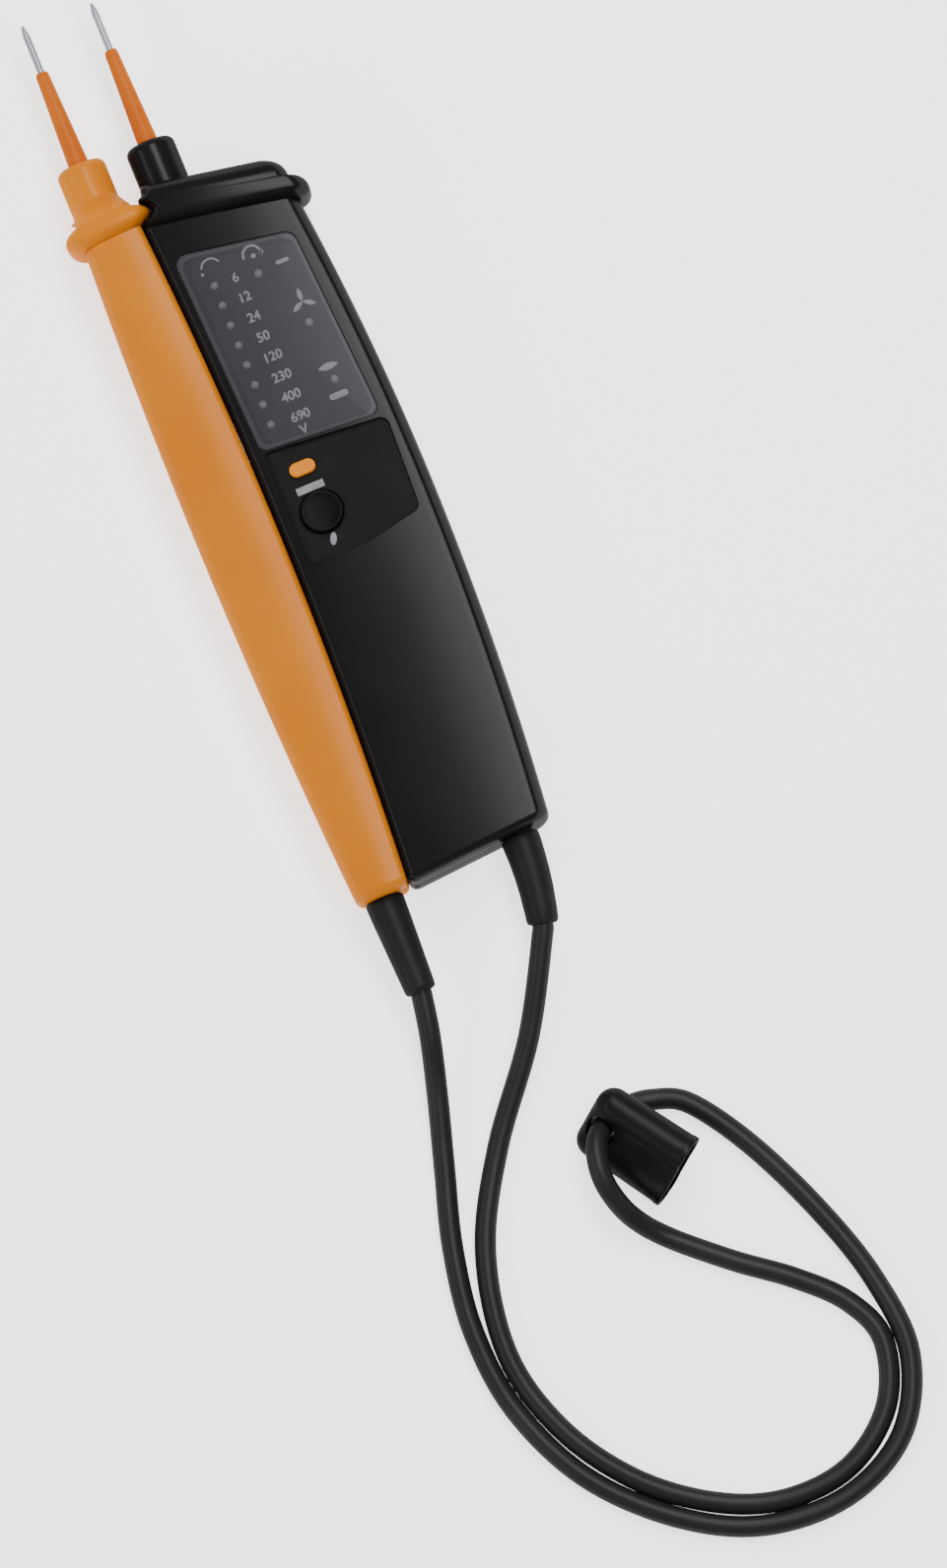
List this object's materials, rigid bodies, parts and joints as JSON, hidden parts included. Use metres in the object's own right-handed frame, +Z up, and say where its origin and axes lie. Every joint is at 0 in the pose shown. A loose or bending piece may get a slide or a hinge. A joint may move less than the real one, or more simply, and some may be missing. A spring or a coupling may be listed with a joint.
{
  "type": "two-pole voltage tester",
  "caption": "Two-pole voltage tester: a black indicator unit and an orange slave handle docked side by side, joined by a looped cable with a tip cap.",
  "frame": {"origin": "on the surface it lies on, under the middle of the two docked housings' box, cable and cap left out", "axes": "+Y along the housings towards the probe tips, +Z up out of the face, +X across from the orange handle to the black indicator unit"},
  "size_m": [0.1091, 0.4433, 0.029],
  "materials": {
    "black_housing": "fine moulded texture, satin",
    "orange_housing": "fine moulded texture, satin",
    "orange_sleeve": "smooth moulded insulation",
    "tip_steel": "turned steel",
    "smoke_window": "clear smoke, glossy",
    "legend_black": "printed film",
    "lamp_lens": "diffused lens, unlit",
    "panel_black": "matt",
    "board_green": "solder mask",
    "spring_steel": "plated",
    "resistor_blue": "lacquer",
    "battery_can": "plain sleeve",
    "contact_brass": "plated sheet",
    "boot_rubber": "moulded, satin",
    "button_black": "moulded, satin",
    "key_orange": "moulded",
    "cable_rubber": "soft sheath, low sheen",
    "cap_rubber": "moulded, satin"
  },
  "bodies": {
    "indicator": {"indicator_front_shell": "black_housing", "indicator_back_shell": "black_housing", "indicator_nose": "black_housing", "indicator_sleeve": "orange_sleeve", "indicator_probe": "tip_steel", "display_window": "smoke_window", "legend_plate": "legend_black", "level_lamps": "lamp_lens", "status_lamps": "lamp_lens", "control_panel": "panel_black", "circuit_board": "board_green", "key_switches": "spring_steel", "input_resistors": "resistor_blue", "sounder": "panel_black", "batteries": "battery_can", "battery_contacts": "contact_brass", "battery_door": "black_housing", "door_screw": "spring_steel", "indicator_screws": "spring_steel", "indicator_boot": "boot_rubber", "cable": "cable_rubber"},
    "handle": {"handle_front_shell": "orange_housing", "handle_back_shell": "orange_housing", "handle_nose": "orange_housing", "handle_sleeve": "orange_sleeve", "handle_probe": "tip_steel", "dock_pegs": "spring_steel", "resistor_board": "board_green", "handle_screws": "spring_steel", "handle_boot": "boot_rubber"},
    "round_button": {"round_button": "button_black"},
    "orange_key": {"orange_key": "key_orange"},
    "tip_cap": {"tip_cap": "cap_rubber"}
  },
  "joints": [
    {"name": "round_button_press", "type": "slide", "parent": "indicator", "child": "round_button", "axis": [0, 0, -1], "range_m": [0, 0.001], "stiffness_N_per_m": 300},
    {"name": "orange_key_press", "type": "slide", "parent": "indicator", "child": "orange_key", "axis": [0, 0, -1], "range_m": [0, 0.0008], "stiffness_N_per_m": 250},
    {"name": "handle_undock", "type": "slide", "parent": "indicator", "child": "handle", "axis": [-1, 0, 0], "range_m": [0, 0.025], "deforming": ["cable"]},
    {"name": "tip_cap_turn", "type": "hinge", "parent": "indicator", "child": "tip_cap", "pos_m": [0.01114, -0.1874, 0.0097], "axis": [-0.5547, -0.3742, 0.7431], "range_deg": [0, 30]}
  ]
}
